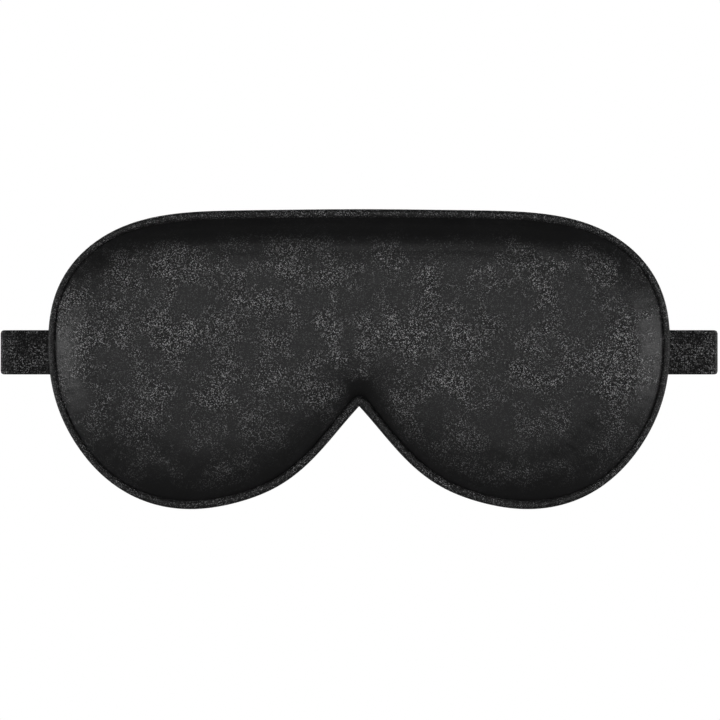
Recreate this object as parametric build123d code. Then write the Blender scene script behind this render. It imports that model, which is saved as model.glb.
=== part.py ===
from build123d import *

import math
import os

# Padded sleep mask with an adjustable elastic strap, as worn: X across the face, +Z up, front towards -Y.
# The origin is where the wearer's side of the mask stands furthest back, level with the strap.

# Driving dimensions, in millimetres.
BINDING_WIDTH = 2.7
BINDING_THICKNESS = 3.2
SEAM_ALLOWANCE_INSET = 0.6
COVER_THICKNESS = 0.5
LINING_THICKNESS = 0.3
CLOTH_GAP = 0.1
FACE_PUFF = 3.0
FACE_PUFF_SPREAD = 13
FRONT_PUFF = 7.0
FRONT_PUFF_SPREAD = 18

STRAP_WIDTH = 15
STRAP_THICKNESS = 1.0
STRAP_SPAN = 244.2
STRAP_STUB = 5.5
FOLD_RADIUS = 6.5
THREAD_THICKNESS = 0.3
BARTACK_WIDTH = 1.8
BARTACK_HEIGHT = 12

SLOT_HEIGHT = 16.4
RAIL_WIDTH = 2.2
BAR_WIDTH = 2.2
CORNER_RADIUS = 2.4
RING_LENGTH = 14
RING_THICKNESS = 1.8
RING_X = -32
SLIDER_LENGTH = 17.8
SLIDER_THICKNESS = 1.6
SLIDER_X = 60
HUMP_REACH = 9.5
TAIL_LENGTH = 16

# Right half of the edge, (X, Z) from the top centre clockwise to the point of the nose notch.
HALF_OUTLINE = [
    (0, 48.2),
    (40, 47.8),
    (62.3, 46.7),
    (79.1, 42.7),
    (94.6, 32.5),
    (102.3, 20.4),
    (105, 3),
    (102.5, -16.2),
    (94.6, -32.4),
    (82.9, -44.6),
    (71.1, -50.7),
    (57.2, -52.9),
    (41.6, -50.7),
    (26.5, -44.6),
    (14.3, -34.4),
    (0, -17.9),
]
NOTCH_DIRECTION = (-0.69, 0.72)
INSET_POINTS = 22
HALF_WIDTH = max(x for x, _ in HALF_OUTLINE)

# How a padded side rises from its seam: (share of the spread inwards, share of the puff).
PUFF_STEPS = [(0, 0), (0.14, 0.48), (0.34, 0.79), (0.64, 0.96), (1, 1)]

# Levels inside the mask, measured forwards from the wearer's side.
SEAM_LEVEL = COVER_THICKNESS + LINING_THICKNESS / 2 + FACE_PUFF

# Strap lanes, as Y behind the wearer's side: outer run, inner run and the flat hardware between them.
SEAM_Y = -SEAM_LEVEL
OUTER_LANE = SEAM_Y + 2 * FOLD_RADIUS
LANE_SPACING = 3.0
INNER_LANE = OUTER_LANE - LANE_SPACING
RING_Y = OUTER_LANE - LANE_SPACING / 2
SLIDER_Y = RING_Y + LANE_SPACING
FOLD_X = STRAP_SPAN / 2 - STRAP_THICKNESS / 2 - FOLD_RADIUS
BAR_OFFSET = RING_LENGTH / 2 - BAR_WIDTH / 2
TURN_SLACK = 0.7

# The strap's two routes through the slider, from its centre: (along the strap, back from the ring's plane).
# The loop comes up from its sewn tail, goes round the centre bar and leaves along the inner lane.
SEWN_TAIL_LEVEL = -0.4
LOOP_TURN_RADIUS = 1.1
LOOP_ROUTE = [
    (-TAIL_LENGTH, SEWN_TAIL_LEVEL),
    (-5.5, SEWN_TAIL_LEVEL),
    (-1.9, 2.2),
    (-1.9, 4.6),
    (1.9, 4.6),
    (1.9, 1.5),
    (-1.0, 1.3),
    (-4.8, -LANE_SPACING / 2),
    (-SLIDER_LENGTH / 2, -LANE_SPACING / 2),
]
# The hump passes under both side bars and over the loop.
HUMP_TURN_RADIUS = 1.4
HUMP_LEVEL = LANE_SPACING / 2 + 4.3
HUMP_ROUTE = [
    (-HUMP_REACH, LANE_SPACING / 2),
    (-6.2, LANE_SPACING / 2),
    (-2.9, HUMP_LEVEL),
    (2.9, HUMP_LEVEL),
    (6.2, LANE_SPACING / 2),
    (HUMP_REACH, LANE_SPACING / 2),
]


def half_edge():
    """The right half of the outer edge as one curve."""
    return Spline(*HALF_OUTLINE, tangents=[(1, 0), NOTCH_DIRECTION])


def inset_half(inset):
    """The right half of the edge moved inwards, with a round turn over the point of the notch."""
    edge = half_edge().edge()
    points = []
    for step in range(INSET_POINTS + 1):
        place = edge.position_at(step / INSET_POINTS)
        along = edge.tangent_at(step / INSET_POINTS)
        points.append((place.X + along.Y * inset, place.Y - along.X * inset))
    apex_z = HALF_OUTLINE[-1][1]
    leg_angle = math.atan2(-NOTCH_DIRECTION[0], NOTCH_DIRECTION[1])
    turn_angle = (leg_angle + math.pi / 2) / 2
    turn_middle = (inset * math.cos(turn_angle), apex_z + inset * math.sin(turn_angle))
    turn_top = (0, apex_z + inset)
    side = Spline(*points, tangents=[(1, 0), NOTCH_DIRECTION])
    turn = ThreePointArc(points[-1], turn_middle, turn_top)
    return side + turn


def outline_face(inset, level=0):
    """The mask's whole outline at an inset from its edge, as a flat face at a level."""
    half = inset_half(inset) if inset else half_edge()
    return Pos(0, 0, level) * make_face(half + mirror(half, Plane.YZ))


def slab(inset, low, high):
    """The outline as a flat layer between two levels."""
    return extrude(outline_face(inset, low), amount=high - low)


def puffed(inset, spread, level, rise):
    """A padded dome that starts at a level and rises, forwards or, for a negative rise, backwards."""
    sections = [
        outline_face(inset + spread * inwards, level + rise * upwards)
        for inwards, upwards in PUFF_STEPS
    ]
    return loft(sections)


def stand_up(shape):
    """Turn a shape drawn flat, its front upwards, to stand as worn with its front towards -Y."""
    return Plane.XZ * shape


def cover(direction, spread, puff):
    """One cloth cover: a seam allowance all round and a puffed shell over its padding."""
    inner_level = SEAM_LEVEL + direction * LINING_THICKNESS / 2
    outer_level = inner_level + direction * COVER_THICKNESS
    low = min(inner_level, outer_level)
    high = max(inner_level, outer_level)
    allowance = slab(SEAM_ALLOWANCE_INSET, low, high)
    outside = puffed(BINDING_WIDTH, spread, outer_level, direction * puff)
    hollow_inset = BINDING_WIDTH + COVER_THICKNESS
    hollow = puffed(hollow_inset, spread, inner_level, direction * puff)
    return stand_up(allowance + outside - hollow)


def padding(direction, spread, puff):
    """The wadding that fills the space between a cover and the lining."""
    level = SEAM_LEVEL + direction * (LINING_THICKNESS / 2 + CLOTH_GAP)
    inset = BINDING_WIDTH + COVER_THICKNESS + 2 * CLOTH_GAP
    return stand_up(puffed(inset, spread, level, direction * (puff - 2 * CLOTH_GAP)))


def blackout_lining():
    """The opaque cloth between the two layers of wadding."""
    half = LINING_THICKNESS / 2
    return stand_up(slab(SEAM_ALLOWANCE_INSET, SEAM_LEVEL - half, SEAM_LEVEL + half))


def edge_binding():
    """The tape folded over the seam allowances, all round the edge."""
    half = BINDING_THICKNESS / 2
    band = slab(0, SEAM_LEVEL - half, SEAM_LEVEL + half)
    band -= slab(BINDING_WIDTH, SEAM_LEVEL - half, SEAM_LEVEL + half)
    tucked_half = COVER_THICKNESS + LINING_THICKNESS / 2
    band -= slab(SEAM_ALLOWANCE_INSET, SEAM_LEVEL - tucked_half, SEAM_LEVEL + tucked_half)
    return stand_up(band)


def strap_band(*path):
    """Strap that stands on edge and follows a level path of joined lines and arcs."""
    face = trace(Curve() + list(path), STRAP_THICKNESS)
    return extrude(face, amount=STRAP_WIDTH / 2, both=True)


def straight_run(start_x, end_x, lane):
    """Straight strap between two places on a lane."""
    return strap_band(Line((start_x, lane), (end_x, lane)))


def strap_end():
    """The right end of the strap, from inside the seam to just outside the binding."""
    start_x = HALF_WIDTH - BINDING_WIDTH
    return straight_run(start_x, start_x + STRAP_STUB, SEAM_Y)


def strap_fold():
    """The right fold, where the strap turns from the seam to run back behind the mask."""
    start_x = HALF_WIDTH - BINDING_WIDTH + STRAP_STUB
    stub = Line((start_x, SEAM_Y), (FOLD_X, SEAM_Y))
    turn_middle = (FOLD_X + FOLD_RADIUS, SEAM_Y + FOLD_RADIUS)
    turn = ThreePointArc((FOLD_X, SEAM_Y), turn_middle, (FOLD_X, OUTER_LANE))
    return strap_band(stub, turn)


def flat_frame(length, thickness, place):
    """A flat moulded frame with rounded corners and one opening, standing as worn."""
    height = SLOT_HEIGHT + 2 * RAIL_WIDTH
    outside = RectangleRounded(length, height, CORNER_RADIUS)
    opening = RectangleRounded(length - 2 * BAR_WIDTH, SLOT_HEIGHT, CORNER_RADIUS / 3)
    body = extrude(outside - opening, amount=thickness / 2, both=True)
    softened = body.edges().filter_by(Plane.XY)
    body = fillet(softened, thickness * 0.3)
    return Pos(*place) * stand_up(body)


def strap_ring():
    """The ring that joins the two straps."""
    return flat_frame(RING_LENGTH, RING_THICKNESS, (RING_X, RING_Y, 0))


def slider_frame():
    """The slider: a frame with a centre bar between its two slots."""
    place = (SLIDER_X, SLIDER_Y, 0)
    bar_height = SLOT_HEIGHT + RAIL_WIDTH
    bar = Pos(*place) * Box(BAR_WIDTH, SLIDER_THICKNESS * 0.9, bar_height)
    return flat_frame(SLIDER_LENGTH, SLIDER_THICKNESS, place) + bar


def turn_round_bar(bar_x, side, reach):
    """Strap from the outer lane round one bar of the ring to the inner lane, and where it ends."""
    start_x = bar_x - side * reach
    turn_x = bar_x + side * TURN_SLACK
    outer_leg = Line((start_x, OUTER_LANE), (turn_x, OUTER_LANE))
    turn_middle = (turn_x + side * LANE_SPACING / 2, RING_Y)
    turn = ThreePointArc((turn_x, OUTER_LANE), turn_middle, (turn_x, INNER_LANE))
    return outer_leg, turn, turn_x


def left_strap_loop():
    """The left strap's end: round the ring's left bar, then back under itself to be sewn down."""
    bar_x = RING_X - BAR_OFFSET
    outer_leg, turn, turn_x = turn_round_bar(bar_x, 1, TAIL_LENGTH)
    sewn_lane = OUTER_LANE - STRAP_THICKNESS - CLOTH_GAP
    tail = FilletPolyline(
        (turn_x, INNER_LANE),
        (bar_x - TAIL_LENGTH * 0.2, INNER_LANE),
        (bar_x - TAIL_LENGTH * 0.5, sewn_lane),
        (bar_x - TAIL_LENGTH, sewn_lane),
        radius=3,
    )
    return strap_band(outer_leg, turn, tail)


def ring_turn():
    """The right strap's turn round the ring's right bar."""
    bar_x = RING_X + BAR_OFFSET
    outer_leg, turn, turn_x = turn_round_bar(bar_x, -1, RAIL_WIDTH)
    inner_leg = Line((turn_x, INNER_LANE), (bar_x + RAIL_WIDTH, INNER_LANE))
    return strap_band(outer_leg, turn, inner_leg)


def doubled_run(lane):
    """One of the two layers of the right strap between the ring and the slider."""
    end_reach = HUMP_REACH if lane == OUTER_LANE else SLIDER_LENGTH / 2
    return straight_run(RING_X + BAR_OFFSET + RAIL_WIDTH, SLIDER_X - end_reach, lane)


def through_slider(route, turn_radius):
    """Strap along one of the routes through the slider."""
    corners = [(SLIDER_X + along, RING_Y + back) for along, back in route]
    return strap_band(FilletPolyline(*corners, radius=turn_radius))


def slider_loop():
    """The right strap's end: up through the slider, round its centre bar and sewn to itself."""
    return through_slider(LOOP_ROUTE, LOOP_TURN_RADIUS)


def strap_over_bar():
    """The strap's hump: under the slider's side bars and over the loop on its centre bar."""
    return through_slider(HUMP_ROUTE, HUMP_TURN_RADIUS)


def stitch_bar(x, y):
    """A dense bar of stitches across the strap, on one face of it."""
    return Pos(x, y, 0) * Box(BARTACK_WIDTH, THREAD_THICKNESS, BARTACK_HEIGHT)


def left_loop_bartack():
    """The stitches that close the left strap's loop, seen on both its faces."""
    x = RING_X - BAR_OFFSET - TAIL_LENGTH * 0.75
    middle_y = OUTER_LANE - (STRAP_THICKNESS + CLOTH_GAP) / 2
    reach = STRAP_THICKNESS + (CLOTH_GAP + THREAD_THICKNESS) / 2
    return Compound(children=[stitch_bar(x, middle_y + reach), stitch_bar(x, middle_y - reach)])


def slider_bartack():
    """The stitches that close the loop on the slider, just beside its frame."""
    x = SLIDER_X - TAIL_LENGTH * 0.8
    return stitch_bar(x, RING_Y + SEWN_TAIL_LEVEL + (STRAP_THICKNESS + THREAD_THICKNESS) / 2)


def mirrored(shape):
    """The same piece on the left side."""
    return mirror(shape, Plane.YZ)


def all_parts():
    """Every node of the mask, by name."""
    right_end = strap_end()
    left_end = mirrored(right_end)
    right_fold = strap_fold()
    front = cover(1, FRONT_PUFF_SPREAD, FRONT_PUFF)
    face = cover(-1, FACE_PUFF_SPREAD, FACE_PUFF)
    parts = {
        "front_cover": front - right_end - left_end,
        "front_padding": padding(1, FRONT_PUFF_SPREAD, FRONT_PUFF),
        "blackout_lining": blackout_lining() - right_end - left_end,
        "face_padding": padding(-1, FACE_PUFF_SPREAD, FACE_PUFF),
        "face_cover": face - right_end - left_end,
        "edge_binding": edge_binding() - right_end - left_end,
        "right_strap_end": right_end,
        "left_strap_end": left_end,
        "right_strap_fold": right_fold,
        "left_strap_fold": mirrored(right_fold),
        "left_strap_run": straight_run(
            -FOLD_X, RING_X - BAR_OFFSET - TAIL_LENGTH, OUTER_LANE
        ),
        "right_strap_run": straight_run(SLIDER_X + HUMP_REACH, FOLD_X, OUTER_LANE),
        "left_strap_loop": left_strap_loop(),
        "left_loop_bartack": left_loop_bartack(),
        "strap_ring": strap_ring(),
        "ring_turn": ring_turn(),
        "doubled_outer_run": doubled_run(OUTER_LANE),
        "doubled_inner_run": doubled_run(INNER_LANE),
        "slider_frame": slider_frame(),
        "slider_loop": slider_loop(),
        "slider_bartack": slider_bartack(),
        "strap_over_bar": strap_over_bar(),
    }
    return parts


os.makedirs("parts", exist_ok=True)
for node, shape in all_parts().items():
    export_step(shape, f"parts/{node}.step")
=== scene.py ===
import math
import random

import bmesh
import bpy
import numpy as np
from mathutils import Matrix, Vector
from mathutils.geometry import delaunay_2d_cdt


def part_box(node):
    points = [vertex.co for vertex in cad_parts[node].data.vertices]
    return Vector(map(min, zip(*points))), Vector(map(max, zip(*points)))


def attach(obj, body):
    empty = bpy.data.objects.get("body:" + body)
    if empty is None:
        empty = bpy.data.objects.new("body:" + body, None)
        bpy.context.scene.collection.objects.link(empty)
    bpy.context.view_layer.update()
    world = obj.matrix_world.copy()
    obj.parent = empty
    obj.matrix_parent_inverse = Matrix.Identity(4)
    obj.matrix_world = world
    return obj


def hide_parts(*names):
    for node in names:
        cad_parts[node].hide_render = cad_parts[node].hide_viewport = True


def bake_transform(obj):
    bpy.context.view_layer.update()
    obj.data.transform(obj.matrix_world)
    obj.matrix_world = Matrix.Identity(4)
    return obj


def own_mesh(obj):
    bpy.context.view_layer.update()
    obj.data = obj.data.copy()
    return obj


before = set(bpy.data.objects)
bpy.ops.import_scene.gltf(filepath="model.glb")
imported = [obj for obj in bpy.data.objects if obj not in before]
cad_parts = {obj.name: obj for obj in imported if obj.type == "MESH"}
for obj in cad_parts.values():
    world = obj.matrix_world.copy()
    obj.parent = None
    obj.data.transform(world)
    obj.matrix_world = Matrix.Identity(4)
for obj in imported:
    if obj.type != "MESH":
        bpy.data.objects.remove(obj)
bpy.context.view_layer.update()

MM = 0.001

# The outline is walked in equal steps, with a fan of directions at the notch.
EDGE_STEP = 1.5 * MM
EDGE_SMOOTHING = 6
NOTCH_FAN = 9

# The binding: narrower and flatter at the mask's sides, wider over the notch.
BINDING_WIDTH = 2.65 * MM
BINDING_SIDE_LOSS = 0.6 * MM
BINDING_TIP_EXTRA = 0.5 * MM
BINDING_TIP_REACH = 8 * MM
BINDING_HALF_DEPTH = 1.55 * MM
BINDING_SIDE_FALL = 0.3 * MM
BINDING_SWELL = 0.27 * MM
BINDING_SECTION_POINTS = 16
BINDING_SQUARENESS = 0.9
BINDING_PUCKER = 0.05
BINDING_WAVES = 6
BINDING_SEED = 11

# The two puffed sides, and how far in from the seam each takes to rise.
SEAM_TUCK = 0.96
SEAM_DEPTH = 0.2 * MM
FRONT_PUFF = 7.2 * MM
FRONT_SPREAD = 12.5 * MM
FACE_PUFF = 2.9 * MM
FACE_SPREAD = 11 * MM
PUFF_ROUNDNESS = 2.4
PUFF_BEFORE_CLOTH = 0.93
COVER_RINGS = 15
WADDING_RINGS = 9
RING_CROWDING = 1.4

# The front is a little flatter over the lobes. Both sides rise faster round the notch, and more
# slowly at the mask's left and right.
LOBE_SINK = 2.2 * MM
LOBE_TOP = -12 * MM
LOBE_FALL = 42 * MM
LOBE_CURVE = 1.5
NOTCH_ROLL = 0.8
NOTCH_REACH = 42 * MM
SIDE_START = 62 * MM
SIDE_BLEND = 28 * MM
SIDE_ROLL = 0.3

# Small gathers that run in from the seam.
PUCKER_DEPTH = 0.07 * MM
PUCKER_REACH = 7 * MM
PUCKER_START = 1.5 * MM
PUCKER_WAVES = 7
COVER_PUCKER_SEED = 15
WADDING_PUCKER_SEED = 9

# The covers' cloth, its simulation, and the wadding under it.
COVER_THICKNESS = 0.45 * MM
CENTRE_GRID = 3.0 * MM
CENTRE_CLEARANCE = 0.6
CLOTH_FRAMES = 20
CLOTH_PRESSURE = 4.0
CLOTH_REACH = 0.7 * MM
CLOTH_DENT = 0.08 * MM
WADDING_GAP = 1.2 * MM
WADDING_SEAM_GAP = 0.25 * MM
FRONT_WADDING_PUFF = 0.8
FACE_WADDING_PUFF = 0.6

# The satin's flecks, and the levels between which they thin out over the lobes and at the top. The
# light flecks are painted glints, and they thin out there because the satin lies in shade.
FLECK_SIZE = 0.23 * MM
PIT_COLOUR = (0.001, 0.001, 0.001)
LOBE_FLECKS = (-34 * MM, -10 * MM)
TOP_FLECKS = (38 * MM, 30 * MM)

# The strap, its rounded selvedges and the pinch at its folds.
STRAP_STEP = 0.8 * MM
STRAP_EDGE_ROUND = 0.45
STRAP_POINTS_ACROSS = 26
SELVEDGE_START = 0.93
TURN_STEP = 0.2
FOLD_PINCH = 0.05
FOLD_PINCH_REACH = 1.1 * MM

# Each turn is a touch tighter than the room between two lanes, so that its straights keep a length.
FOLD_TURN_SHARE = 0.999
BAR_TURN_SHARE = 0.995

# The left strap's sewn end: how far it lies off the strap, and where along the loop it bends.
SEWN_STEP = 1.1
SEWN_BEND_START = 0.7
SEWN_BEND_END = 0.42

# A bartack: a zigzag of thread just inside the faces of its CAD piece.
THREAD_RADIUS = 0.13 * MM
THREAD_INSET = 0.15 * MM
BARTACK_STITCHES = 34
STITCH_RINGS = 5
STITCH_POINTS_ROUND = 6
STITCH_END_SIZE = 0.55

# The strap's way through the slider, as steps along it and back from the slider's middle:
# the sewn loop turns round the centre bar, and the strap humps over that loop.
HUMP_FOOT, HUMP_RISE, HUMP_TOP = 9.5 * MM, 6.2 * MM, 2.9 * MM
HUMP_TURN = 1.4 * MM
BAR_LOOP_ROUTE = (
    (-16, -0.4), (-5.5, -0.4), (-1.9, 2.2), (-1.9, 4.6), (1.9, 4.6),
    (1.9, 1.5), (-1.0, 1.3), (-4.8, -1.5), (-8.9, -1.5),
)
BAR_LOOP_TURN = 1.1 * MM


# ---------------------------------------------------------------- meshes

def new_object(name, vertices, faces, smooth=True):
    """A mesh object from lists of points and faces, with its normals outwards."""
    mesh = bpy.data.meshes.new(name)
    mesh.from_pydata([tuple(v) for v in vertices], [], faces)
    made = bmesh.new()
    made.from_mesh(mesh)
    bmesh.ops.remove_doubles(made, verts=made.verts, dist=1e-6)
    bmesh.ops.dissolve_degenerate(made, edges=made.edges, dist=1e-7)
    bmesh.ops.recalc_face_normals(made, faces=made.faces)
    made.to_mesh(mesh)
    made.free()
    for polygon in mesh.polygons:
        polygon.use_smooth = smooth
    piece = bpy.data.objects.new(name, mesh)
    bpy.context.scene.collection.objects.link(piece)
    return piece


def apply_modifier(piece, modifier):
    """Make one modifier's result the piece's own mesh."""
    with bpy.context.temp_override(object=piece, active_object=piece):
        bpy.ops.object.modifier_apply(modifier=modifier.name)


def grid_faces(rows, columns, closed_rows=False, closed_columns=False):
    """Quads over a grid of points that are numbered row by row."""
    faces = []
    for row in range(rows if closed_rows else rows - 1):
        for column in range(columns if closed_columns else columns - 1):
            next_row = (row + 1) % rows
            next_column = (column + 1) % columns
            faces.append((
                row * columns + column,
                row * columns + next_column,
                next_row * columns + next_column,
                next_row * columns + column,
            ))
    return faces


# ---------------------------------------------------------------- the outline, from the CAD binding

def front_loop():
    """The outer edge of the CAD binding's front face, as (x, z) points in order."""
    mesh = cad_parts["edge_binding"].data
    front_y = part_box("edge_binding")[0].y
    made = bmesh.new()
    made.from_mesh(mesh)
    bmesh.ops.remove_doubles(made, verts=made.verts, dist=1e-6)
    on_front = {v for v in made.verts if v.co.y < front_y + 0.05 * MM}
    rim = {}
    for edge in made.edges:
        if not all(v in on_front for v in edge.verts):
            continue
        front_faces = [f for f in edge.link_faces if all(v in on_front for v in f.verts)]
        if len(front_faces) == 1:
            for a, b in (edge.verts, reversed(edge.verts)):
                rim.setdefault(a, []).append(b)
    start = max(rim, key=lambda v: v.co.x)
    loop = [start, rim[start][0]]
    while True:
        onward = [v for v in rim[loop[-1]] if v is not loop[-2]]
        if onward[0] is start:
            break
        loop.append(onward[0])
    points = [(v.co.x, v.co.z) for v in loop]
    made.free()
    return points


def from_notch(points):
    """The loop turned to start at the point of the notch and to run clockwise, seen from the front."""
    area = sum(x0 * z1 - x1 * z0 for (x0, z0), (x1, z1) in zip(points, points[1:] + points[:1]))
    if area > 0:
        points = points[::-1]
    low_centre = [p for p in points if p[1] < 0]
    tip = min(low_centre, key=lambda p: abs(p[0]))
    at = points.index(tip)
    return points[at:] + points[:at] + [tip]


def evenly(points, step):
    """The line through the points, walked in equal steps."""
    line = np.array(points)
    lengths = np.concatenate([[0], np.cumsum(np.linalg.norm(np.diff(line, axis=0), axis=1))])
    count = int(round(lengths[-1] / step))
    marks = np.linspace(0, lengths[-1], count + 1)
    return np.stack([np.interp(marks, lengths, line[:, k]) for k in (0, 1)], axis=1)


def smoothed(line, rounds):
    """The line with small steps taken out and its two ends kept."""
    line = line.copy()
    for _ in range(rounds):
        line[1:-1] = (line[:-2] + 2 * line[1:-1] + line[2:]) / 4
    return line


def edge_template():
    """Points on the edge and the way inwards from each, with a fan of directions at the notch."""
    line = smoothed(evenly(from_notch(front_loop()), EDGE_STEP), EDGE_SMOOTHING)
    along = np.gradient(line, axis=0)
    along /= np.linalg.norm(along, axis=1)[:, None]
    inwards = np.stack([along[:, 1], -along[:, 0]], axis=1)
    first, last = (math.atan2(inwards[k][1], inwards[k][0]) for k in (0, -1))
    fan_angles = np.linspace(last, first, NOTCH_FAN + 2)[1:-1]
    fan = np.stack([np.cos(fan_angles), np.sin(fan_angles)], axis=1)
    bases = np.concatenate([line, np.repeat(line[:1], NOTCH_FAN, axis=0)])
    return bases, np.concatenate([inwards, fan])


BASES, INWARDS = edge_template()
SEAM_Y = sum(corner.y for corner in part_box("edge_binding")) / 2


def sideness():
    """How far each point of the template belongs to the mask's left or right side, from 0 to 1."""
    share = np.clip((np.abs(BASES[:, 0]) - SIDE_START) / SIDE_BLEND, 0, 1)
    return share**2 * (3 - 2 * share)


def near_tip(reach):
    """How near each point of the template is to the notch's point, from 1 there down to 0."""
    from_tip = np.linalg.norm(BASES - BASES[0], axis=1)
    return np.exp(-((from_tip / reach) ** 2))


def binding_widths():
    """How wide the binding shows at each point: narrower at the sides, wider over the notch."""
    at_tip = BINDING_TIP_EXTRA * near_tip(BINDING_TIP_REACH)
    return BINDING_WIDTH - BINDING_SIDE_LOSS * sideness() + at_tip


BINDING_WIDTHS = binding_widths()


def moved_in(inset):
    """The template's points moved inwards, by one distance or by one for each point."""
    return BASES + np.broadcast_to(inset, len(BASES))[:, None] * INWARDS


def ring_points(inset, y):
    """One ring of points round the mask, at an inset from its edge."""
    flat = moved_in(inset)
    return np.stack([flat[:, 0], np.broadcast_to(y, len(flat)), flat[:, 1]], axis=1)


# ---------------------------------------------------------------- the padded body

def puff_height(share):
    """How far a puffed side has risen, from 0 at the seam to 1 where it is full."""
    return 1 - (1 - np.clip(share, 0, 1)) ** PUFF_ROUNDNESS


def lobe_sink(z):
    """How much lower the front lies over the lobes, below the cheeks' line, than in the middle."""
    share = np.clip((LOBE_TOP - z) / LOBE_FALL, 0, 1)
    return LOBE_SINK * share**LOBE_CURVE


def roll_scale():
    """How wide the edge's roll is at each point: tight round the notch, easy at the sides."""
    tight = (1 - NOTCH_ROLL) * near_tip(NOTCH_REACH)
    return 1 - tight + SIDE_ROLL * sideness()


def puckers(inset_from_seam, seed):
    """Small gathers that run in from the seam and fade out, as a height at each template point."""
    dice = random.Random(seed)
    run = np.cumsum(np.linalg.norm(np.diff(BASES, axis=0, prepend=BASES[:1]), axis=1)) / MM
    waves = [(dice.uniform(0.5, 1.5), dice.uniform(0, math.tau)) for _ in range(PUCKER_WAVES)]
    height = sum(np.sin(run * rate + phase) for rate, phase in waves) / len(waves) ** 0.5
    fade = math.exp(-inset_from_seam / PUCKER_REACH) * min(1, inset_from_seam / PUCKER_START)
    return PUCKER_DEPTH * fade * height


def inside(point, loop):
    """Whether a flat point lies inside a closed loop of flat points."""
    x, z = point
    x0, z0 = loop[:, 0], loop[:, 1]
    x1, z1 = np.roll(x0, -1), np.roll(z0, -1)
    crosses = (z0 > z) != (z1 > z)
    with np.errstate(divide="ignore", invalid="ignore"):
        at = x0 + (z - z0) * (x1 - x0) / (z1 - z0)
    return bool(np.count_nonzero(crosses & (x < at)) % 2)


def centre_grid(loop, clearance):
    """Points in a triangular grid that fills a loop and keeps clear of its edge."""
    low, high = loop.min(axis=0), loop.max(axis=0)
    points = []
    row_step = CENTRE_GRID * math.sqrt(3) / 2
    for row in range(int((high[1] - low[1]) / row_step) + 1):
        z = low[1] + row * row_step
        shift = CENTRE_GRID / 2 if row % 2 else 0
        for column in range(int((high[0] - low[0]) / CENTRE_GRID) + 1):
            point = (low[0] + column * CENTRE_GRID + shift, z)
            nearest = np.min(np.linalg.norm(loop - np.array(point), axis=1))
            if nearest > clearance and inside(point, loop):
                points.append(point)
    return points


def full_rise(rise, z):
    """The full height of a puffed side at a level: the front is a little flatter over the lobes."""
    return rise + lobe_sink(z) if rise < 0 else rise


def puffed_side(seam_insets, rings, spread, seam_y, rise, seed):
    """Points and faces of one puffed side: rings from the seam inwards, then a filled centre."""
    spreads = spread * roll_scale()
    points = []
    for share in rings:
        inset = seam_insets + share * spreads
        full = full_rise(rise, moved_in(inset)[:, 1])
        gathers = math.copysign(1, rise) * puckers(share * spread, seed)
        points.extend(ring_points(inset, seam_y + (full * puff_height(share) + gathers)))
    faces = grid_faces(len(rings), len(BASES), closed_columns=True)
    loop = moved_in(seam_insets + rings[-1] * spreads)
    filling = centre_grid(loop, CENTRE_GRID * CENTRE_CLEARANCE)
    flat = [Vector(p) for p in loop] + [Vector(p) for p in filling]
    rim = [(k, (k + 1) % len(loop)) for k in range(len(loop))]
    placed, _, triangles, origins, _, _ = delaunay_2d_cdt(flat, rim, [], 1, 1e-9)
    first = len(points) - len(loop)
    number = {}
    for at, sources in enumerate(origins):
        if sources and min(sources) < len(loop):
            number[at] = first + min(sources)
        else:
            number[at] = len(points)
            full_y = seam_y + float(full_rise(rise, placed[at].y))
            points.append((placed[at].x, full_y, placed[at].y))
    faces.extend(tuple(number[k] for k in triangle) for triangle in triangles)
    return points, faces


def simulate(piece, pinned, pressure):
    """Blow the closed pad up a little as cloth, and let no point move further than CLOTH_REACH."""
    start = np.array([v.co for v in piece.data.vertices])
    group = piece.vertex_groups.new(name="seam")
    group.add(pinned, 1.0, "REPLACE")
    cloth = piece.modifiers.new("cloth", "CLOTH")
    settings = cloth.settings
    settings.quality = 6
    settings.mass = 0.25
    settings.tension_stiffness = 12
    settings.compression_stiffness = 12
    settings.shear_stiffness = 6
    settings.bending_stiffness = 0.6
    settings.use_pressure = True
    settings.uniform_pressure_force = pressure
    settings.vertex_group_mass = group.name
    settings.effector_weights.gravity = 0
    cloth.collision_settings.use_collision = False
    scene = bpy.context.scene
    for number in range(1, CLOTH_FRAMES + 1):
        scene.frame_set(number)
    apply_modifier(piece, cloth)
    scene.frame_set(1)
    moved = np.array([v.co for v in piece.data.vertices]) - start
    far = np.linalg.norm(moved, axis=1)
    moved *= np.minimum(1, CLOTH_REACH / np.maximum(far, 1e-9))[:, None]
    outwards = np.sign(start[:, 1] - SEAM_Y)
    moved[:, 1] = outwards * np.maximum(moved[:, 1] * outwards, -CLOTH_DENT)
    for vertex, place in zip(piece.data.vertices, start + moved):
        vertex.co = place


def ring_shares(count):
    """Where the rings of a puffed side lie between seam and centre, closer together at the seam."""
    return np.linspace(0, 1, count) ** RING_CROWDING


def pad_shell():
    """The points and faces of the whole pad's skin, as one closed mesh."""
    rings = ring_shares(COVER_RINGS)
    insets = BINDING_WIDTHS * SEAM_TUCK
    front_points, front_faces = puffed_side(
        insets, rings, FRONT_SPREAD, SEAM_Y - SEAM_DEPTH, -FRONT_PUFF * PUFF_BEFORE_CLOTH,
        COVER_PUCKER_SEED,
    )
    face_points, face_faces = puffed_side(
        insets, rings, FACE_SPREAD, SEAM_Y + SEAM_DEPTH, FACE_PUFF * PUFF_BEFORE_CLOTH,
        COVER_PUCKER_SEED,
    )
    offset = len(front_points)
    faces = front_faces + [tuple(k + offset for k in reversed(f)) for f in face_faces]
    count = len(BASES)
    for k in range(count):
        onward = (k + 1) % count
        faces.append((k, onward, offset + onward, offset + k))
    return front_points + face_points, faces


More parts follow.
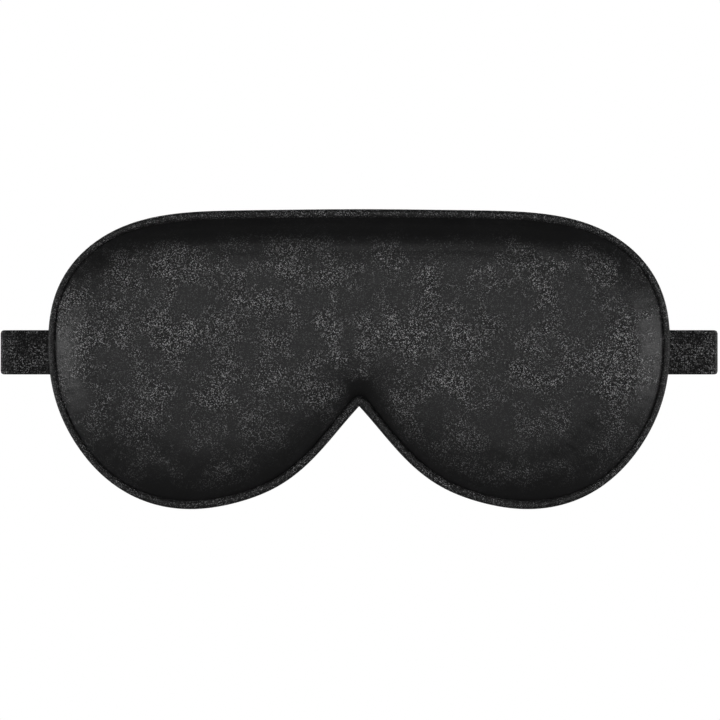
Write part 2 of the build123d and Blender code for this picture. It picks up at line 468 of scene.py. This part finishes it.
def split_cover(shell, name, front):
    """One side of the simulated skin as a closed cloth cover of its own."""
    cover = bpy.data.objects.new(name, shell.data.copy())
    bpy.context.scene.collection.objects.link(cover)
    made = bmesh.new()
    made.from_mesh(cover.data)
    unwanted = [
        f for f in made.faces
        if (f.calc_center_median().y > SEAM_Y - SEAM_DEPTH * 0.5) == front
        or abs(f.calc_center_median().y - SEAM_Y) < SEAM_DEPTH * 0.5
    ]
    bmesh.ops.delete(made, geom=unwanted, context="FACES")
    made.to_mesh(cover.data)
    made.free()
    smooth = cover.modifiers.new("smooth", "SUBSURF")
    smooth.levels = 1
    smooth.render_levels = 1
    apply_modifier(cover, smooth)
    thick = cover.modifiers.new("thick", "SOLIDIFY")
    thick.thickness = COVER_THICKNESS
    thick.offset = -1
    apply_modifier(cover, thick)
    return cover


def make_pad():
    """The two covers, blown up together as one closed pad and then split at the seam."""
    points, faces = pad_shell()
    shell = new_object("pad_shell", points, faces)
    pinned = [
        v.index for v in shell.data.vertices if abs(v.co.y - SEAM_Y) < SEAM_DEPTH * 1.5
    ]
    simulate(shell, pinned, CLOTH_PRESSURE)
    front = split_cover(shell, "front_cover_satin", True)
    face = split_cover(shell, "face_cover_satin", False)
    bpy.data.objects.remove(shell)
    return front, face


def make_wadding(name, spread, rise):
    """One layer of wadding, as a closed puffed form a little inside its cover."""
    base_y = SEAM_Y + math.copysign(WADDING_SEAM_GAP, rise)
    points, faces = puffed_side(
        BINDING_WIDTHS + WADDING_GAP, ring_shares(WADDING_RINGS), spread, base_y, rise,
        WADDING_PUCKER_SEED,
    )
    offset = len(points)
    flat = [(x, base_y, z) for x, _, z in points]
    faces += [tuple(k + offset for k in reversed(f)) for f in faces]
    return new_object(name, points + flat, faces)


# ---------------------------------------------------------------- the edge binding

def make_binding():
    """The satin tape round the edge: a soft rounded fold with a light pucker along its length."""
    dice = random.Random(BINDING_SEED)
    waves = [(dice.uniform(0.6, 1.6), dice.uniform(0, math.tau)) for _ in range(BINDING_WAVES)]
    section = []
    for step in range(BINDING_SECTION_POINTS):
        angle = math.tau * step / BINDING_SECTION_POINTS
        wide, deep = (
            math.copysign(abs(turn) ** BINDING_SQUARENESS, turn)
            for turn in (math.cos(angle), math.sin(angle))
        )
        section.append(((1 - wide) / 2, deep))
    points = []
    half_depths = BINDING_HALF_DEPTH - BINDING_SIDE_FALL * sideness()
    for across, deep in section:
        inset = across * (BINDING_WIDTHS + BINDING_SWELL) - BINDING_SWELL
        for k, (x, z) in enumerate(moved_in(inset)):
            run = k * EDGE_STEP / MM
            pucker = sum(math.sin(run * rate + phase) for rate, phase in waves) / len(waves)
            points.append((x, SEAM_Y + deep * half_depths[k] * (1 + BINDING_PUCKER * pucker), z))
    faces = grid_faces(len(section), len(BASES), closed_rows=True, closed_columns=True)
    binding = new_object("edge_binding_tape", points, faces)
    smooth = binding.modifiers.new("smooth", "SUBSURF")
    smooth.levels = 1
    smooth.render_levels = 1
    apply_modifier(binding, smooth)
    return binding


# ---------------------------------------------------------------- the strap

def rounded_path(corners, radius):
    """A level path through corners, with each turn as an arc, as closely spaced (x, y) points."""
    points = [Vector(corners[0])]
    for before, corner, after in zip(corners, corners[1:], corners[2:]):
        here = Vector(corner)
        back = (Vector(before) - here).normalized()
        onward = (Vector(after) - here).normalized()
        half = math.acos(max(-1, min(1, back.dot(onward)))) / 2
        reach = radius / math.tan(half)
        centre = here + (back + onward).normalized() * radius / math.sin(half)
        start, end = here + back * reach - centre, here + onward * reach - centre
        turn = start.angle_signed(end)
        steps = max(2, int(abs(turn) / TURN_STEP))
        for step in range(steps + 1):
            angle = -turn * step / steps
            spun = Vector((
                start.x * math.cos(angle) - start.y * math.sin(angle),
                start.x * math.sin(angle) + start.y * math.cos(angle),
            ))
            points.append(centre + spun)
    points.append(Vector(corners[-1]))
    return points


def filled_in(points, step):
    """The path with more points on its straight stretches."""
    line = [points[0]]
    for a, b in zip(points, points[1:]):
        count = max(1, int((b - a).length / step))
        line.extend(a.lerp(b, (k + 1) / count) for k in range(count))
    return line


def strap_section(width, thickness):
    """Level, depth pairs round the strap: two flat faces with rounded selvedges."""
    face = []
    for k in range(STRAP_POINTS_ACROSS + 1):
        share = 2 * k / STRAP_POINTS_ACROSS - 1
        edge = max(0, (abs(share) - SELVEDGE_START) / (1 - SELVEDGE_START))
        depth = thickness / 2 * (1 - STRAP_EDGE_ROUND * edge**2)
        face.append((share * width / 2, depth))
    return face + [(z, -depth) for z, depth in reversed(face)]


def strap_piece(name, path, nodes):
    """A length of strap that follows a level path, standing on edge."""
    low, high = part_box("doubled_inner_run")
    width, thickness = high.z - low.z, high.y - low.y
    line = filled_in(path, STRAP_STEP)
    section = strap_section(width, thickness)
    points = []
    for k, place in enumerate(line):
        ahead = line[min(k + 1, len(line) - 1)]
        behind = line[max(k - 1, 0)]
        along = (ahead - behind).normalized()
        normal = Vector((-along.y, along.x))
        for z, depth in section:
            points.append((place.x + normal.x * depth, place.y + normal.y * depth, z))
    columns = len(section)
    faces = grid_faces(len(line), columns, closed_columns=True)
    faces.append(tuple(range(columns)))
    faces.append(tuple(reversed(range(len(points) - columns, len(points)))))
    piece = new_object(name, points, faces)
    piece.data.set_sharp_from_angle(angle=math.radians(50))
    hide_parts(*nodes)
    return piece


def middle(node):
    """The centre of a CAD node's box."""
    low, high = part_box(node)
    return (low + high) / 2


def strap_lanes():
    """The levels behind the mask on which the strap runs, from the CAD pieces."""
    return {
        "seam": middle("right_strap_end").y,
        "outer": middle("left_strap_run").y,
        "inner": middle("doubled_inner_run").y,
        "thickness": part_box("doubled_inner_run")[1].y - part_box("doubled_inner_run")[0].y,
    }


def leg(side, lanes):
    """One side of the strap, from inside the seam out to the fold and back behind the mask."""
    node = "right_strap_fold" if side > 0 else "left_strap_fold"
    end = "right_strap_end" if side > 0 else "left_strap_end"
    low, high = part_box(node)
    out_x = max(abs(low.x), abs(high.x)) - lanes["thickness"] / 2
    radius = (lanes["outer"] - lanes["seam"]) / 2
    start_x = min(abs(corner.x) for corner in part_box(end))
    corners = [
        (side * start_x, lanes["seam"]),
        (side * out_x, lanes["seam"]),
        (side * out_x, lanes["outer"]),
        (side * (out_x - radius), lanes["outer"]),
    ]
    path = rounded_path(corners, radius * FOLD_TURN_SHARE)
    name = "right_strap_leg" if side > 0 else "left_strap_leg"
    piece = strap_piece(name, path, [end, node])
    for vertex in piece.data.vertices:
        share = max(0, 1 + (abs(vertex.co.x) - out_x) / FOLD_PINCH_REACH)
        vertex.co.z *= 1 - FOLD_PINCH * share**2
    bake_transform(piece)
    return piece


def straight(name, start_x, end_x, y, node):
    """Strap straight along one lane."""
    return strap_piece(name, [Vector((start_x, y)), Vector((end_x, y))], [node])


def make_runs(lanes):
    """The straight lengths behind the mask, which get longer or shorter as the slider moves."""
    low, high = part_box("left_strap_run")
    left = straight("left_run", low.x, high.x, lanes["outer"], "left_strap_run")
    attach(left, "strap_back")
    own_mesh(left)
    low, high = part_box("right_strap_run")
    right = straight("right_run", low.x, high.x, lanes["outer"], "right_strap_run")
    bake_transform(right)
    made = [left, right]
    for layer in ("outer", "inner"):
        node = f"doubled_{layer}_run"
        low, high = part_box(node)
        run = straight(f"doubled_{layer}", low.x, high.x, lanes[layer], node)
        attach(run, "ring_end")
        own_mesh(run)
        made.append(run)
    return made


def make_ring_loops(lanes):
    """The left strap's loop and the right strap's turn, round the two bars of the ring."""
    thickness = lanes["thickness"]
    turn = (lanes["outer"] - lanes["inner"]) / 2
    low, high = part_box("left_strap_loop")
    turn_x = high.x - thickness / 2
    sewn_y = lanes["outer"] - thickness * SEWN_STEP
    reach = high.x - low.x
    corners = [
        (low.x, lanes["outer"]),
        (turn_x, lanes["outer"]),
        (turn_x, lanes["inner"]),
        (low.x + reach * SEWN_BEND_START, lanes["inner"]),
        (low.x + reach * SEWN_BEND_END, sewn_y),
        (low.x, sewn_y),
    ]
    radius = turn * BAR_TURN_SHARE
    loop = strap_piece("left_loop", rounded_path(corners, radius), ["left_strap_loop"])
    low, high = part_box("ring_turn")
    turn_x = low.x + thickness / 2
    corners = [
        (high.x, lanes["outer"]),
        (turn_x, lanes["outer"]),
        (turn_x, lanes["inner"]),
        (high.x, lanes["inner"]),
    ]
    right_turn = strap_piece("right_turn", rounded_path(corners, radius), ["ring_turn"])
    for piece in (loop, right_turn):
        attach(piece, "ring_end")
    return [loop, right_turn]


def make_slider_strap(lanes):
    """The strap's sewn loop on the slider's centre bar and its hump over that loop."""
    centre = middle("slider_frame")
    top_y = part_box("strap_over_bar")[1].y - lanes["thickness"] / 2
    foot_y = lanes["outer"]
    rising = [(-HUMP_FOOT, foot_y), (-HUMP_RISE, foot_y), (-HUMP_TOP, top_y)]
    falling = [(-along, y) for along, y in reversed(rising)]
    corners = [(centre.x + along, y) for along, y in rising + falling]
    hump = strap_piece("strap_hump", rounded_path(corners, HUMP_TURN), ["strap_over_bar"])
    ring_y = (lanes["outer"] + lanes["inner"]) / 2
    corners = [(centre.x + along * MM, ring_y + back * MM) for along, back in BAR_LOOP_ROUTE]
    loop = strap_piece("bar_loop", rounded_path(corners, BAR_LOOP_TURN), ["slider_loop"])
    for piece in (hump, loop):
        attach(piece, "strap_slider")
    return [hump, loop]


def make_strap():
    """Every length of elastic."""
    lanes = strap_lanes()
    pieces = [leg(1, lanes), leg(-1, lanes)]
    pieces += make_runs(lanes)
    pieces += make_ring_loops(lanes)
    pieces += make_slider_strap(lanes)
    return pieces


def make_bartack(name, node, body):
    """A dense zigzag of thread that stands for a CAD bartack, on its back and, if deep, its front."""
    low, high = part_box(node)
    levels = [high.y - THREAD_INSET]
    if high.y - low.y >= MM:
        levels.append(low.y + THREAD_INSET)
    points, faces = [], []
    for y in levels:
        places = []
        for k in range(BARTACK_STITCHES + 1):
            x = low.x if k % 2 else high.x
            places.append(Vector((x, y, low.z + (high.z - low.z) * k / BARTACK_STITCHES)))
        for a, b in zip(places, places[1:]):
            add_thread(points, faces, a, b, THREAD_RADIUS)
    piece = new_object(name, points, faces)
    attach(piece, body)
    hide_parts(node)
    return piece


def add_thread(points, faces, start, end, radius):
    """One straight stitch of round thread, crowned in the middle."""
    along = (end - start).normalized()
    side = along.cross(Vector((0, 1, 0))).normalized()
    up = side.cross(along)
    first = len(points)
    rings, around = STITCH_RINGS, STITCH_POINTS_ROUND
    for ring in range(rings):
        share = ring / (rings - 1)
        centre = start.lerp(end, share)
        crown = STITCH_END_SIZE + (1 - STITCH_END_SIZE) * math.sin(math.pi * share)
        size = radius * crown
        for k in range(around):
            angle = math.tau * k / around
            points.append(centre + (side * math.cos(angle) + up * math.sin(angle)) * size)
    faces.extend(
        tuple(first + k for k in face)
        for face in grid_faces(rings, around, closed_columns=True)
    )
    faces.append(tuple(first + k for k in range(around)))
    faces.append(tuple(first + (rings - 1) * around + k for k in reversed(range(around))))


# ---------------------------------------------------------------- materials

class Nodes:
    """A short way to build one material's nodes."""

    def __init__(self, name):
        self.material = bpy.data.materials.new(name)
        self.material.use_nodes = True
        self.tree = self.material.node_tree
        self.shader = self.tree.nodes["Principled BSDF"]

    def add(self, kind, inputs=None, **settings):
        """A node with its settings, and its inputs as values or linked from other nodes."""
        node = self.tree.nodes.new(kind)
        for key, value in settings.items():
            setattr(node, key, value)
        for key, value in (inputs or {}).items():
            if isinstance(value, bpy.types.NodeSocket):
                self.tree.links.new(value, node.inputs[key])
            else:
                node.inputs[key].default_value = value
        return node

    def place(self):
        return self.add("ShaderNodeTexCoord").outputs["Object"]

    def noise(self, scale, detail=2.0, roughness=0.5):
        return self.add("ShaderNodeTexNoise", {
            "Vector": self.place(),
            "Scale": scale,
            "Detail": detail,
            "Roughness": roughness,
        }).outputs["Fac"]

    def cells(self, size, vector):
        """A random level from 0 to 1 for each small cell of the surface."""
        voronoi = self.add("ShaderNodeTexVoronoi", {"Vector": vector, "Scale": 1 / size})
        split = self.add("ShaderNodeSeparateColor", {"Color": voronoi.outputs["Color"]})
        return split.outputs[0]

    def ramp(self, value, low, high, start=0.0, end=1.0):
        """A value carried from low..high to start..end, and held at both ends."""
        return self.add("ShaderNodeMapRange", {
            "Value": value,
            "From Min": low,
            "From Max": high,
            "To Min": start,
            "To Max": end,
        }, clamp=True).outputs["Result"]

    def maths(self, operation, a, b):
        """One arithmetic step between two values."""
        return self.add("ShaderNodeMath", {0: a, 1: b}, operation=operation).outputs[0]

    def mix(self, share, a, b):
        """A colour between two others, which are given as values or come from another node."""
        node = self.add("ShaderNodeMix", {"Factor": share}, data_type="RGBA")
        for socket, colour in ((node.inputs[6], a), (node.inputs[7], b)):
            if isinstance(colour, bpy.types.NodeSocket):
                self.tree.links.new(colour, socket)
            else:
                socket.default_value = (*colour, 1)
        return node.outputs[2]

    def wave(self, axis, period, vector):
        """Soft bands with this period. At a scale of 1, Blender's bands repeat every tau / 20."""
        return self.add("ShaderNodeTexWave", {
            "Vector": vector,
            "Scale": math.tau / period / 20,
            "Distortion": 1.2,
            "Detail": 1.0,
            "Detail Scale": 2.0,
        }, wave_type="BANDS", bands_direction=axis).outputs["Fac"]

    def link(self, value, socket):
        self.tree.links.new(value, self.shader.inputs[socket])

    def bump(self, height, distance, strength=1.0, under=None):
        """A normal bent by a height, on top of another normal if there is one."""
        inputs = {"Height": height, "Distance": distance, "Strength": strength}
        if under is not None:
            inputs["Normal"] = under
        return self.add("ShaderNodeBump", inputs).outputs["Normal"]


def satin(name, dark, light, painted_glint, roughness, calm, shaded_slope_flecks, shaded_band_flecks):
    """Woven satin: a fine twill, soft colour variation, and patches of light flecks and dark pits. The
    light flecks are painted glints: they carry the base colour towards a glint colour in place of the
    satin's sparkle of light.

    The last three say how many flecks are left between the patches, on slopes that face up or down,
    where the painted glints thin out as less light falls there, and above and below the mask's middle
    band, as shares of the full number.
    """
    n = Nodes(name)
    place = n.place()
    weave = n.maths(
        "MULTIPLY",
        n.wave("DIAGONAL", 0.55 * MM, place),
        n.wave("Z", 0.5 * MM, place),
    )
    base = n.mix(n.ramp(n.noise(45, 3.0), 0.3, 0.7), dark, light)
    clumps = n.ramp(n.noise(75, 5.0, 0.7), 0.44, 0.6, calm, 1)
    # Painted light: the painted glints thin out over the lobes and at the top, where the satin lies in
    # shade.
    level = n.add("ShaderNodeSeparateXYZ", {"Vector": place}).outputs["Z"]
    above_lobes = n.maths("MULTIPLY", clumps, n.ramp(level, *LOBE_FLECKS, shaded_band_flecks, 1))
    middle_band = n.maths("MULTIPLY", above_lobes, n.ramp(level, *TOP_FLECKS, shaded_band_flecks, 1))
    # Painted light: fewer flecks, and so fewer painted glints, on slopes that face up or down, where
    # less light falls.
    normal = n.add("ShaderNodeTexCoord").outputs["Normal"]
    tilt = n.add("ShaderNodeSeparateXYZ", {"Vector": normal}).outputs["Z"]
    crown = n.ramp(n.maths("MULTIPLY", tilt, tilt), 0.3, 0.05, shaded_slope_flecks, 1)
    patches = n.maths("MULTIPLY", middle_band, crown)
    flecks = n.cells(FLECK_SIZE, place)
    # Painted glints: the light flecks carry the base colour towards the glint colour, in place of the
    # satin's sparkle of light.
    bright = n.maths("MULTIPLY", n.ramp(flecks, 0.78, 0.97), patches)
    pits = n.maths("MULTIPLY", n.ramp(flecks, 0.36, 0.12), patches)
    n.link(n.mix(bright, n.mix(pits, base, PIT_COLOUR), painted_glint), "Base Color")
    n.link(n.ramp(pits, 0, 1, roughness, 0.95), "Roughness")
    fine = n.bump(weave, 0.05 * MM, 0.35)
    n.link(n.bump(n.maths("MULTIPLY", flecks, patches), 0.13 * MM, 1.0, fine), "Normal")
    n.shader.inputs["Specular IOR Level"].default_value = 0.5
    n.shader.inputs["Sheen Weight"].default_value = 0.02
    n.shader.inputs["Sheen Roughness"].default_value = 0.5
    return n.material


def elastic(name):
    """Woven elastic: close lengthwise ribs, a plain weave across them, and flecks in patches, which
    are painted glints in the base colour.
    """
    n = Nodes(name)
    place = n.place()
    ribs = n.wave("Z", 1.05 * MM, place)
    picks = n.wave("X", 0.7 * MM, place)
    weave = n.maths("MULTIPLY", ribs, picks)
    patches = n.ramp(n.noise(190, 3.0, 0.65), 0.42, 0.58, 0.25, 1)
    flecks = n.cells(FLECK_SIZE * 1.15, place)
    # Painted glints: light flecks that carry the base colour towards a pale grey, in place of the
    # elastic's sparkle of light.
    lit = n.maths("MULTIPLY", n.ramp(flecks, 0.66, 1.0), patches)
    bright = n.maths("MULTIPLY", lit, n.ramp(weave, 0, 0.6, 0.45, 1))
    base = n.mix(n.ramp(weave, 0.1, 0.8), (0.002, 0.002, 0.0022), (0.008, 0.008, 0.0084))
    n.link(n.mix(bright, base, (0.62, 0.62, 0.63)), "Base Color")
    n.link(n.ramp(bright, 0, 1, 0.72, 0.5), "Roughness")
    n.shader.inputs["Specular IOR Level"].default_value = 0.25
    fine = n.bump(weave, 0.12 * MM, 0.6)
    n.link(n.bump(n.maths("MULTIPLY", flecks, patches), 0.09 * MM, 0.5, fine), "Normal")
    n.shader.inputs["Sheen Weight"].default_value = 0.02
    n.shader.inputs["Sheen Roughness"].default_value = 0.4
    return n.material


def moulded_plastic(name):
    """Satin black acetal with a fine moulded grain, a little paler along its sharp edges."""
    n = Nodes(name)
    # Paler along sharp edges, where the surface's pointiness is high, broken up by noise.
    sharp_edges = n.ramp(n.add("ShaderNodeNewGeometry").outputs["Pointiness"], 0.52, 0.6)
    edge_paleness = n.maths("MULTIPLY", sharp_edges, n.ramp(n.noise(600, 3.0), 0.4, 0.7))
    n.link(n.mix(edge_paleness, (0.006, 0.006, 0.0065), (0.05, 0.05, 0.052)), "Base Color")
    n.link(n.ramp(n.noise(900, 3.0), 0.3, 0.7, 0.28, 0.44), "Roughness")
    n.link(n.bump(n.noise(5200, 2.0), 0.02 * MM, 0.4), "Normal")
    return n.material


def thread(name):
    """Twisted black polyester thread."""
    n = Nodes(name)
    twist = n.wave("DIAGONAL", 0.3 * MM, n.place())
    n.link(n.mix(twist, (0.006, 0.006, 0.006), (0.035, 0.035, 0.036)), "Base Color")
    n.link(n.ramp(twist, 0, 1, 0.55, 0.4), "Roughness")
    n.link(n.bump(twist, 0.05 * MM, 0.5), "Normal")
    return n.material


def wadding_cloth(name):
    """White polyester wadding: a loose fibrous felt."""
    n = Nodes(name)
    fibres = n.noise(900, 6.0, 0.7)
    n.link(n.mix(fibres, (0.6, 0.6, 0.58), (0.85, 0.85, 0.83)), "Base Color")
    n.link(n.ramp(fibres, 0, 1, 0.85, 1), "Roughness")
    n.link(n.bump(fibres, 0.3 * MM, 0.6), "Normal")
    return n.material


def lining_cloth(name):
    """Tightly woven opaque black cloth."""
    n = Nodes(name)
    place = n.place()
    weave = n.maths("MULTIPLY", n.wave("X", 0.45 * MM, place), n.wave("Z", 0.45 * MM, place))
    n.link(n.mix(weave, (0.004, 0.004, 0.004), (0.02, 0.02, 0.02)), "Base Color")
    n.link(n.ramp(weave, 0, 1, 0.9, 0.75), "Roughness")
    n.link(n.bump(weave, 0.06 * MM, 0.5), "Normal")
    return n.material


def finish_with(piece, material):
    """Give a piece one material all over."""
    piece.data.materials.clear()
    piece.data.materials.append(material)


def make_lining():
    """The flat opaque sheet between the two waddings, which is held in the seam all round."""
    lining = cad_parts["blackout_lining"]
    finish_with(lining, lining_cloth("lining"))


# ---------------------------------------------------------------- the scene

def make_camera():
    """A long lens straight in front, which frames the mask as a catalogue picture does."""
    distance = 0.9
    seen_width = 0.24347
    aside, height = 0.3 * MM, -2.6 * MM
    data = bpy.data.cameras.new("camera")
    data.lens = data.sensor_width * distance / seen_width
    camera = bpy.data.objects.new("camera", data)
    camera.location = (aside, SEAM_Y - distance, height)
    camera.rotation_euler = (math.radians(90), 0, 0)
    bpy.context.scene.collection.objects.link(camera)
    bpy.context.scene.camera = camera


def area_light(name, place, size, power):
    """A soft rectangular light that looks at the mask."""
    data = bpy.data.lights.new(name, "AREA")
    data.shape = "RECTANGLE"
    data.size, data.size_y = size
    data.energy = power
    light = bpy.data.objects.new(name, data)
    light.location = place
    light.rotation_euler = (-Vector(place)).to_track_quat("-Z", "Y").to_euler()
    light.visible_camera = False
    bpy.context.scene.collection.objects.link(light)


def make_floor():
    """A plain white floor, far enough below to catch no shadow that matters."""
    reach, level = 6.0, -0.3
    corners = [(-reach, -reach), (reach, -reach), (reach, reach), (-reach, reach)]
    floor = new_object("floor", [(x, y, level) for x, y in corners], [(0, 1, 2, 3)], False)
    n = Nodes("floor_white")
    glow = n.add("ShaderNodeEmission", {"Color": (1, 1, 1, 1), "Strength": 1.0})
    plain = n.add("ShaderNodeBsdfDiffuse", {"Color": (0.12, 0.12, 0.12, 1)})
    seen = n.add("ShaderNodeLightPath").outputs["Is Camera Ray"]
    both = n.add("ShaderNodeMixShader", {0: seen, 1: plain.outputs[0], 2: glow.outputs[0]})
    n.tree.links.new(both.outputs[0], n.tree.nodes["Material Output"].inputs["Surface"])
    finish_with(floor, n.material)


def make_world():
    """White behind the mask, and a dim even light from all round."""
    world = bpy.data.worlds.new("studio")
    world.use_nodes = True
    tree = world.node_tree
    dim = tree.nodes["Background"]
    dim.inputs["Color"].default_value = (1, 1, 1, 1)
    dim.inputs["Strength"].default_value = 0.012
    bright = tree.nodes.new("ShaderNodeBackground")
    bright.inputs["Strength"].default_value = 1.0
    bright.inputs["Color"].default_value = (1, 1, 1, 1)
    seen = tree.nodes.new("ShaderNodeLightPath")
    mix = tree.nodes.new("ShaderNodeMixShader")
    tree.links.new(seen.outputs["Is Camera Ray"], mix.inputs[0])
    tree.links.new(dim.outputs[0], mix.inputs[1])
    tree.links.new(bright.outputs[0], mix.inputs[2])
    tree.links.new(mix.outputs[0], tree.nodes["World Output"].inputs["Surface"])
    bpy.context.scene.world = world


def make_lights():
    """Wide, low soft boxes in front and to the sides, and soft fills for the other views."""
    area_light("front_box", (0, -1.3, 0.15), (1.3, 0.2), 2.6)
    area_light("left_box", (-1.15, -0.5, 0.0), (1.1, 0.25), 4.75)
    area_light("right_box", (1.15, -0.5, 0.0), (1.1, 0.25), 4.75)
    area_light("top_box", (0, 0.5, 1.2), (1.0, 0.6), 0.6)
    area_light("back_box", (0, 1.2, 0.35), (1.4, 0.5), 11.0)
    area_light("back_left_box", (-0.9, 1.0, 0.1), (0.4, 0.8), 4.0)
    area_light("back_right_box", (0.9, 1.0, 0.1), (0.4, 0.8), 4.0)


make_camera()
make_world()
make_floor()
make_lights()
bpy.context.scene.view_settings.view_transform = "Standard"

# The third colour of each satin is the colour of its painted glints.
front_satin = satin(
    "front_satin", (0.0134, 0.0134, 0.0139), (0.0172, 0.0172, 0.0178), (0.88, 0.88, 0.89),
    roughness=0.4, calm=0.12, shaded_slope_flecks=0.12, shaded_band_flecks=0.3,
)
face_satin = satin(
    "face_satin", (0.013, 0.013, 0.0135), (0.017, 0.017, 0.0177), (0.4, 0.4, 0.41),
    roughness=0.42, calm=0.12, shaded_slope_flecks=0.12, shaded_band_flecks=0.3,
)
tape_satin = satin(
    "binding_satin", (0.011, 0.011, 0.0113), (0.016, 0.016, 0.0165), (0.55, 0.55, 0.56),
    roughness=0.5, calm=0.3, shaded_slope_flecks=0.9, shaded_band_flecks=1,
)

front_cover, face_cover = make_pad()
front_wadding = make_wadding("front_wadding", FRONT_SPREAD, -FRONT_PUFF * FRONT_WADDING_PUFF)
face_wadding = make_wadding("face_wadding", FACE_SPREAD, FACE_PUFF * FACE_WADDING_PUFF)
binding = make_binding()
# The face wadding keeps the frame's own plain white.
for piece, node, slot, material in (
    (front_cover, "front_cover", "front_satin", front_satin),
    (face_cover, "face_cover", "face_satin", face_satin),
    (front_wadding, "front_padding", "wadding", wadding_cloth("wadding")),
    (face_wadding, "face_padding", "wadding", bpy.data.materials["wadding"]),
    (binding, "edge_binding", "binding_satin", tape_satin),
):
    finish_with(piece, material)
    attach(piece, "mask")
    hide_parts(node)

strap_material = elastic("strap_elastic")
for piece in make_strap():
    finish_with(piece, strap_material)

thread_material = thread("thread")
for name, node, body in (
    ("loop_bartack", "left_loop_bartack", "ring_end"),
    ("bar_bartack", "slider_bartack", "strap_slider"),
):
    finish_with(make_bartack(name, node, body), thread_material)

plastic = moulded_plastic("hardware_plastic")
for node in ("strap_ring", "slider_frame"):
    finish_with(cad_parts[node], plastic)
    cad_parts[node].data.set_sharp_from_angle(angle=math.radians(40))
make_lining()

bpy.context.view_layer.update()
